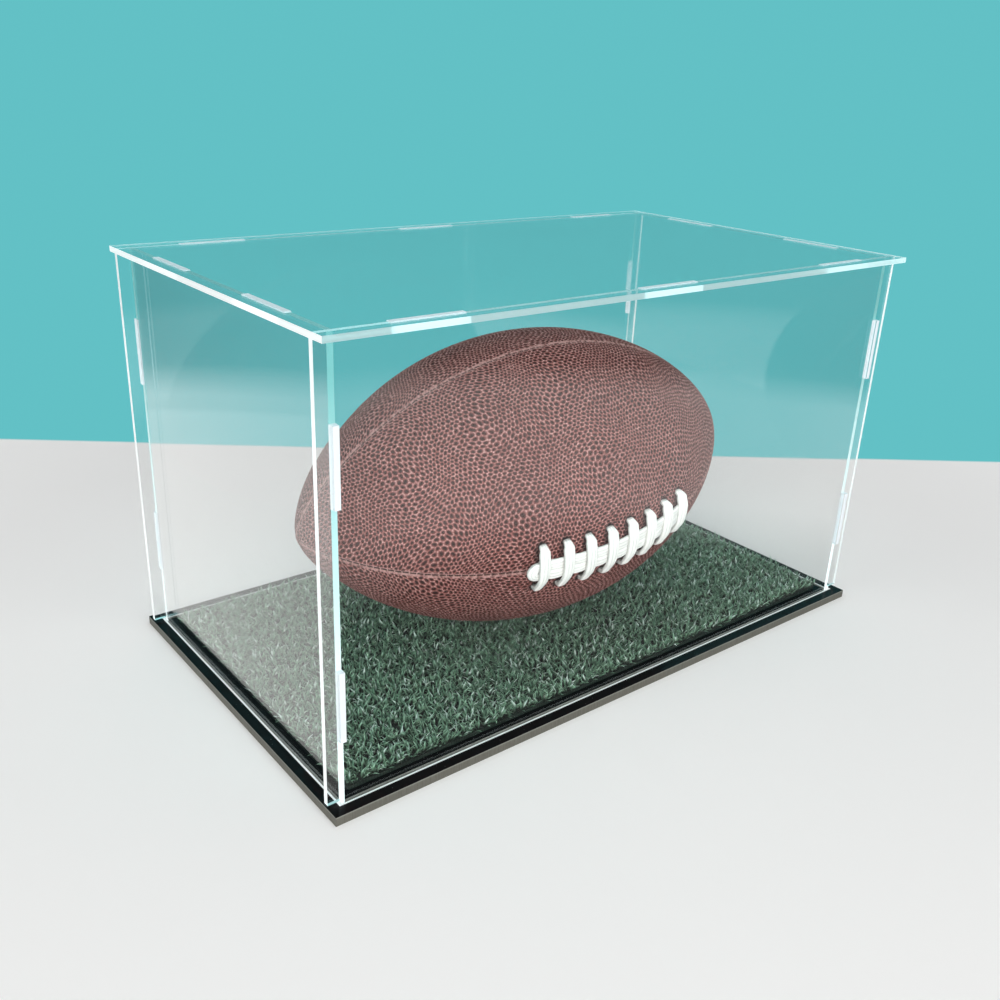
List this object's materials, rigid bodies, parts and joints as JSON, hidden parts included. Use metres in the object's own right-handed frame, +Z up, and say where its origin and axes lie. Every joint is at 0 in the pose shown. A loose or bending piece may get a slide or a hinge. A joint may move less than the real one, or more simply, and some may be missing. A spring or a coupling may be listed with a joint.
{
  "type": "football display case",
  "caption": "Clear acrylic display cover with tabbed panels that lifts off a grooved black base plate, with a turf mat and an American football inside.",
  "frame": {"origin": "centre of the base plate's underside, on the table", "axes": "+Z up; +X along the case to the right as seen from the side that the ball's laces face; +Y to the back"},
  "size_m": [0.4, 0.23, 0.232],
  "materials": {
    "black_acrylic": "polished black cast sheet with a greyer sawn edge",
    "clear_acrylic": "clear cast sheet, laser-cut edges that show white to pale cyan",
    "turf_backing": "matt latex-coated weave",
    "turf_pile": "dull dark green polymer blades",
    "ball_leather": "pebbled red-brown leather, semi-gloss",
    "lining_fabric": "woven cotton lining",
    "black_rubber": "matt butyl rubber",
    "lace_white": "ribbed white woven lace"
  },
  "bodies": {
    "base": {"base_plate": "black_acrylic", "turf_backing": "turf_backing", "turf_pile": "turf_pile"},
    "cover": {"front_panel": "clear_acrylic", "back_panel": "clear_acrylic", "left_panel": "clear_acrylic", "right_panel": "clear_acrylic", "top_panel": "clear_acrylic"},
    "football": {"laced_lower_leather": "ball_leather", "plain_lower_leather": "ball_leather", "plain_upper_leather": "ball_leather", "laced_upper_leather": "ball_leather", "lining": "lining_fabric", "bladder": "black_rubber", "valve": "black_rubber", "lace_runners": "lace_white", "lace_crosses": "lace_white"}
  },
  "joints": [
    {"name": "cover_lift", "type": "slide", "parent": "base", "child": "cover", "axis": [0, 0, 1], "range_m": [0, 0.24]},
    {"name": "football_lift", "type": "slide", "parent": "base", "child": "football", "axis": [0, 0, 1], "range_m": [0, 0.03]}
  ]
}
